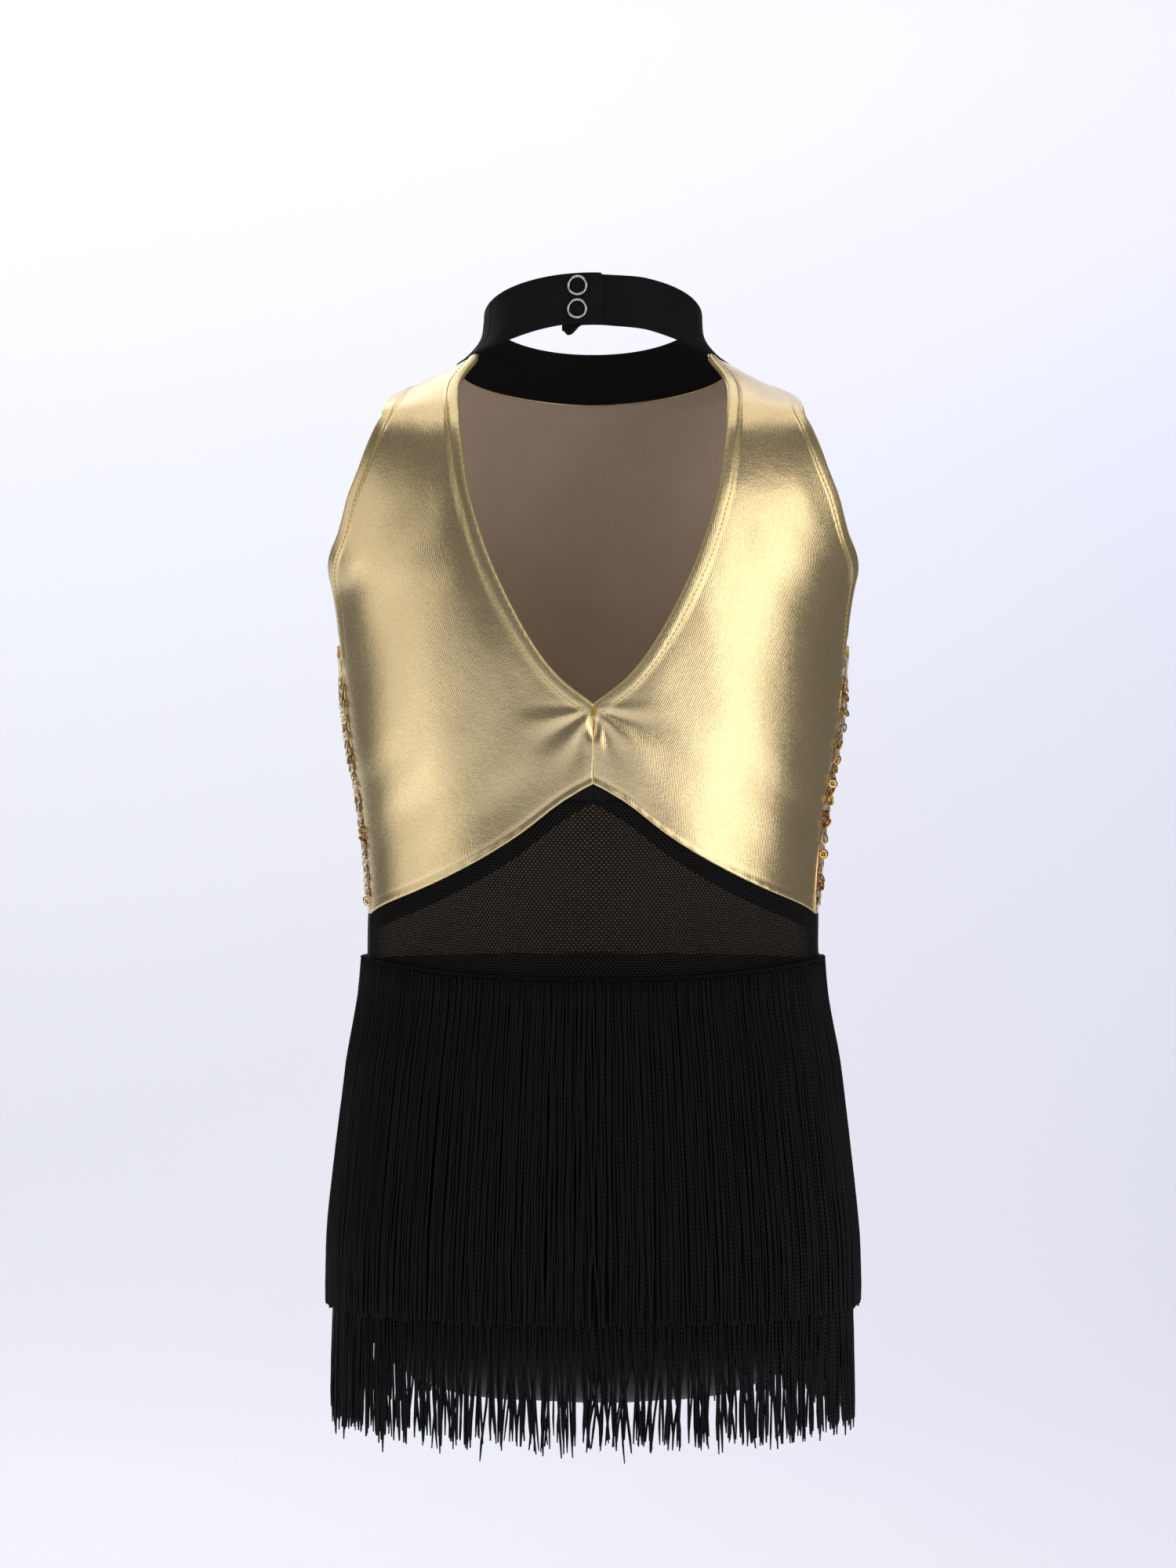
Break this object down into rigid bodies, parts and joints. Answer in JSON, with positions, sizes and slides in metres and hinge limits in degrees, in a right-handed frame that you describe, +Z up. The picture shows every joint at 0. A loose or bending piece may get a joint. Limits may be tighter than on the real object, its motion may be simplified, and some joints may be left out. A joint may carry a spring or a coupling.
{
  "type": "cheer and dance uniform",
  "caption": "Halter-neck dance leotard with an open V back, gold foil bodice, mesh lower back, snap collar and a two-tier fringe skirt over briefs.",
  "frame": {"origin": "middle of the neck inside the collar, level with the top of the shoulder side of the collar seam", "axes": "+Z up, the wearer faces -Y, +X is the wearer's left"},
  "size_m": [0.2526, 0.1889, 0.5335],
  "materials": {
    "gold_foil_knit": "metallic foil printed on stretch knit, soft gloss",
    "gold_sequins": "mirror-like plastic sequins",
    "black_knit": "matte stretch knit",
    "black_power_mesh": "open stretch net",
    "black_fringe": "chainette yarn with a faint sheen",
    "nude_tricot": "matte lining knit",
    "silver_snap": "bright nickel plate",
    "gold_thread": "glossy sewing thread",
    "white_satin": "blank satin ribbon"
  },
  "bodies": {
    "garment": {"armhole_facing_left": "gold_foil_knit", "armhole_facing_right": "gold_foil_knit", "back_opening_facing_left": "gold_foil_knit", "back_opening_facing_right": "gold_foil_knit", "back_panel_left": "gold_foil_knit", "back_panel_right": "gold_foil_knit", "bar_tack": "gold_thread", "briefs_back_left": "black_knit", "briefs_back_right": "black_knit", "briefs_front_left": "black_knit", "briefs_front_right": "black_knit", "care_label": "white_satin", "chevron_seam_tape_left": "black_knit", "chevron_seam_tape_right": "black_knit", "collar_front": "black_knit", "collar_under_tab": "black_knit", "front_bodice": "gold_foil_knit", "front_lining": "nude_tricot", "front_sequins": "gold_sequins", "front_waist_panel": "black_knit", "gusset": "black_knit", "gusset_lining": "nude_tricot", "leg_elastic_left": "black_knit", "leg_elastic_right": "black_knit", "lower_fringe_header": "black_knit", "snap_back_ring_lower": "silver_snap", "snap_back_ring_upper": "silver_snap", "snap_stud_lower": "silver_snap", "snap_stud_upper": "silver_snap", "upper_fringe_header": "black_knit", "waist_mesh_back": "black_power_mesh"},
    "collar_tab": {"collar_over_tab": "black_knit", "snap_cap_ring_upper": "silver_snap", "snap_cap_ring_lower": "silver_snap", "snap_socket_upper": "silver_snap", "snap_socket_lower": "silver_snap"},
    "lower_fringe_back": {"lower_fringe_back": "black_fringe"},
    "upper_fringe_back": {"upper_fringe_back": "black_fringe"},
    "lower_fringe_back_left": {"lower_fringe_back_left": "black_fringe"},
    "upper_fringe_back_left": {"upper_fringe_back_left": "black_fringe"},
    "lower_fringe_left": {"lower_fringe_left": "black_fringe"},
    "upper_fringe_left": {"upper_fringe_left": "black_fringe"},
    "lower_fringe_front_left": {"lower_fringe_front_left": "black_fringe"},
    "upper_fringe_front_left": {"upper_fringe_front_left": "black_fringe"},
    "lower_fringe_front": {"lower_fringe_front": "black_fringe"},
    "upper_fringe_front": {"upper_fringe_front": "black_fringe"},
    "lower_fringe_front_right": {"lower_fringe_front_right": "black_fringe"},
    "upper_fringe_front_right": {"upper_fringe_front_right": "black_fringe"},
    "lower_fringe_right": {"lower_fringe_right": "black_fringe"},
    "upper_fringe_right": {"upper_fringe_right": "black_fringe"},
    "lower_fringe_back_right": {"lower_fringe_back_right": "black_fringe"},
    "upper_fringe_back_right": {"upper_fringe_back_right": "black_fringe"}
  },
  "joints": [
    {"name": "collar_tab_hinge", "type": "hinge", "parent": "garment", "child": "collar_tab", "pos_m": [0.05134, 0.01722, 0.00512], "axis": [0.2848, -0.0299, -0.9581], "range_deg": [0, 70]},
    {"name": "lower_fringe_back_swing", "type": "hinge", "parent": "garment", "child": "lower_fringe_back", "pos_m": [0, 0.08766, -0.3575], "axis": [1, 0, 0], "range_deg": [0, 45]},
    {"name": "upper_fringe_back_swing", "type": "hinge", "parent": "garment", "child": "upper_fringe_back", "pos_m": [0, 0.07806, -0.3095], "axis": [1, 0, 0], "range_deg": [0, 45]},
    {"name": "lower_fringe_back_left_swing", "type": "hinge", "parent": "garment", "child": "lower_fringe_back_left", "pos_m": [0.07721, 0.0688, -0.3575], "axis": [0.8471, -0.5315, 0], "range_deg": [0, 45]},
    {"name": "upper_fringe_back_left_swing", "type": "hinge", "parent": "garment", "child": "upper_fringe_back_left", "pos_m": [0.07403, 0.06067, -0.3064], "axis": [0.8661, -0.4998, 0], "range_deg": [0, 45]},
    {"name": "lower_fringe_left_swing", "type": "hinge", "parent": "garment", "child": "lower_fringe_left", "pos_m": [0.11538, 0, -0.3575], "axis": [0, -1, 0], "range_deg": [0, 45]},
    {"name": "upper_fringe_left_swing", "type": "hinge", "parent": "garment", "child": "upper_fringe_left", "pos_m": [0.1102, 0, -0.302], "axis": [0, -1, 0], "range_deg": [0, 45]},
    {"name": "lower_fringe_front_left_swing", "type": "hinge", "parent": "garment", "child": "lower_fringe_front_left", "pos_m": [0.07721, -0.06325, -0.3575], "axis": [-0.8662, -0.4996, 0], "range_deg": [0, 45]},
    {"name": "upper_fringe_front_left_swing", "type": "hinge", "parent": "garment", "child": "upper_fringe_front_left", "pos_m": [0.07374, -0.0598, -0.302], "axis": [-0.8684, -0.4958, 0], "range_deg": [0, 45]},
    {"name": "lower_fringe_front_swing", "type": "hinge", "parent": "garment", "child": "lower_fringe_front", "pos_m": [0, -0.08059, -0.3575], "axis": [-1, 0, 0], "range_deg": [0, 45]},
    {"name": "upper_fringe_front_swing", "type": "hinge", "parent": "garment", "child": "upper_fringe_front", "pos_m": [0, -0.07619, -0.302], "axis": [-1, 0, 0], "range_deg": [0, 45]},
    {"name": "lower_fringe_front_right_swing", "type": "hinge", "parent": "garment", "child": "lower_fringe_front_right", "pos_m": [-0.07721, -0.06325, -0.3575], "axis": [-0.8662, 0.4996, 0], "range_deg": [0, 45]},
    {"name": "upper_fringe_front_right_swing", "type": "hinge", "parent": "garment", "child": "upper_fringe_front_right", "pos_m": [-0.07374, -0.0598, -0.302], "axis": [-0.8684, 0.4958, 0], "range_deg": [0, 45]},
    {"name": "lower_fringe_right_swing", "type": "hinge", "parent": "garment", "child": "lower_fringe_right", "pos_m": [-0.11538, 0, -0.3575], "axis": [0, 1, 0], "range_deg": [0, 45]},
    {"name": "upper_fringe_right_swing", "type": "hinge", "parent": "garment", "child": "upper_fringe_right", "pos_m": [-0.1102, 0, -0.302], "axis": [0, 1, 0], "range_deg": [0, 45]},
    {"name": "lower_fringe_back_right_swing", "type": "hinge", "parent": "garment", "child": "lower_fringe_back_right", "pos_m": [-0.07721, 0.0688, -0.3575], "axis": [0.8471, 0.5315, 0], "range_deg": [0, 45]},
    {"name": "upper_fringe_back_right_swing", "type": "hinge", "parent": "garment", "child": "upper_fringe_back_right", "pos_m": [-0.07403, 0.06067, -0.3064], "axis": [0.8661, 0.4998, 0], "range_deg": [0, 45]}
  ],
  "couplings": [
    {"joint": "upper_fringe_back_swing", "follows": "lower_fringe_back_swing", "ratio": 1},
    {"joint": "upper_fringe_back_left_swing", "follows": "lower_fringe_back_left_swing", "ratio": 1},
    {"joint": "upper_fringe_left_swing", "follows": "lower_fringe_left_swing", "ratio": 1},
    {"joint": "upper_fringe_front_left_swing", "follows": "lower_fringe_front_left_swing", "ratio": 1},
    {"joint": "upper_fringe_front_swing", "follows": "lower_fringe_front_swing", "ratio": 1},
    {"joint": "upper_fringe_front_right_swing", "follows": "lower_fringe_front_right_swing", "ratio": 1},
    {"joint": "upper_fringe_right_swing", "follows": "lower_fringe_right_swing", "ratio": 1},
    {"joint": "upper_fringe_back_right_swing", "follows": "lower_fringe_back_right_swing", "ratio": 1}
  ]
}
